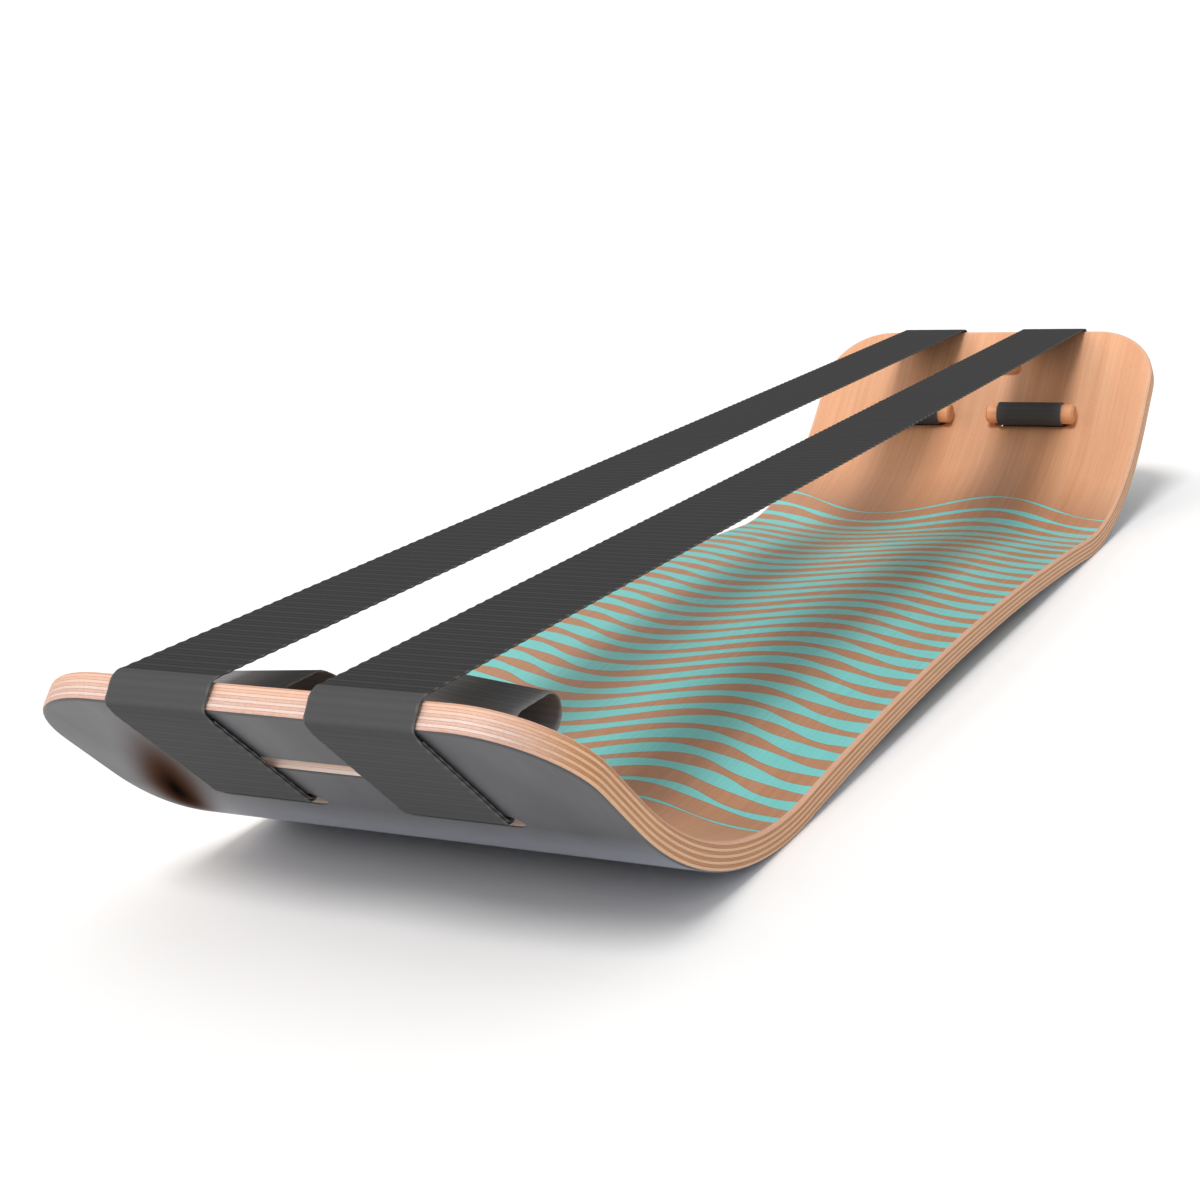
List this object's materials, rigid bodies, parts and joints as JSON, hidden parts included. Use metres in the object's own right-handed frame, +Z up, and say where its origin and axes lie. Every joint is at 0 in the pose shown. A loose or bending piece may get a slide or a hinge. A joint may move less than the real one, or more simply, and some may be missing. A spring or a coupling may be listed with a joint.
{
  "type": "balance board",
  "caption": "Bent plywood balance board with upturned ends, strung end to end with flat webbing straps that pass through slots and are held by wooden dowels.",
  "frame": {"origin": "middle of the board's footprint, on the floor", "axes": "+X along the board from the front end, with the spare loops, to the back end; +Y to the left; +Z up"},
  "size_m": [1.0122, 0.264, 0.1292],
  "materials": {
    "beech_face": "lacquered, with an aqua print",
    "beech_long_grain": "sanded edge",
    "beech_cross_grain": "sanded edge",
    "slate_film": "satin",
    "webbing": "ribbed weave",
    "dowel_beech": "oiled"
  },
  "bodies": {
    "board": {"face_veneer": "beech_face", "veneer_2": "beech_cross_grain", "veneer_3": "beech_long_grain", "veneer_4": "beech_cross_grain", "veneer_5": "beech_long_grain", "veneer_6": "beech_cross_grain", "veneer_7": "beech_long_grain", "veneer_8": "beech_cross_grain", "back_veneer": "beech_long_grain", "underside_film": "slate_film", "strap_left": "webbing", "strap_right": "webbing"},
    "front_left_dowel": {"front_left_dowel": "dowel_beech"},
    "front_right_dowel": {"front_right_dowel": "dowel_beech"},
    "back_left_dowel": {"back_left_dowel": "dowel_beech"},
    "back_right_dowel": {"back_right_dowel": "dowel_beech"}
  },
  "joints": [
    {"name": "front_left_dowel_pull", "type": "slide", "parent": "board", "child": "front_left_dowel", "axis": [0, 1, 0], "range_m": [0, 0.075]},
    {"name": "front_right_dowel_pull", "type": "slide", "parent": "board", "child": "front_right_dowel", "axis": [0, -1, 0], "range_m": [0, 0.075]},
    {"name": "back_left_dowel_pull", "type": "slide", "parent": "board", "child": "back_left_dowel", "axis": [0, 1, 0], "range_m": [0, 0.075]},
    {"name": "back_right_dowel_pull", "type": "slide", "parent": "board", "child": "back_right_dowel", "axis": [0, -1, 0], "range_m": [0, 0.075]}
  ]
}
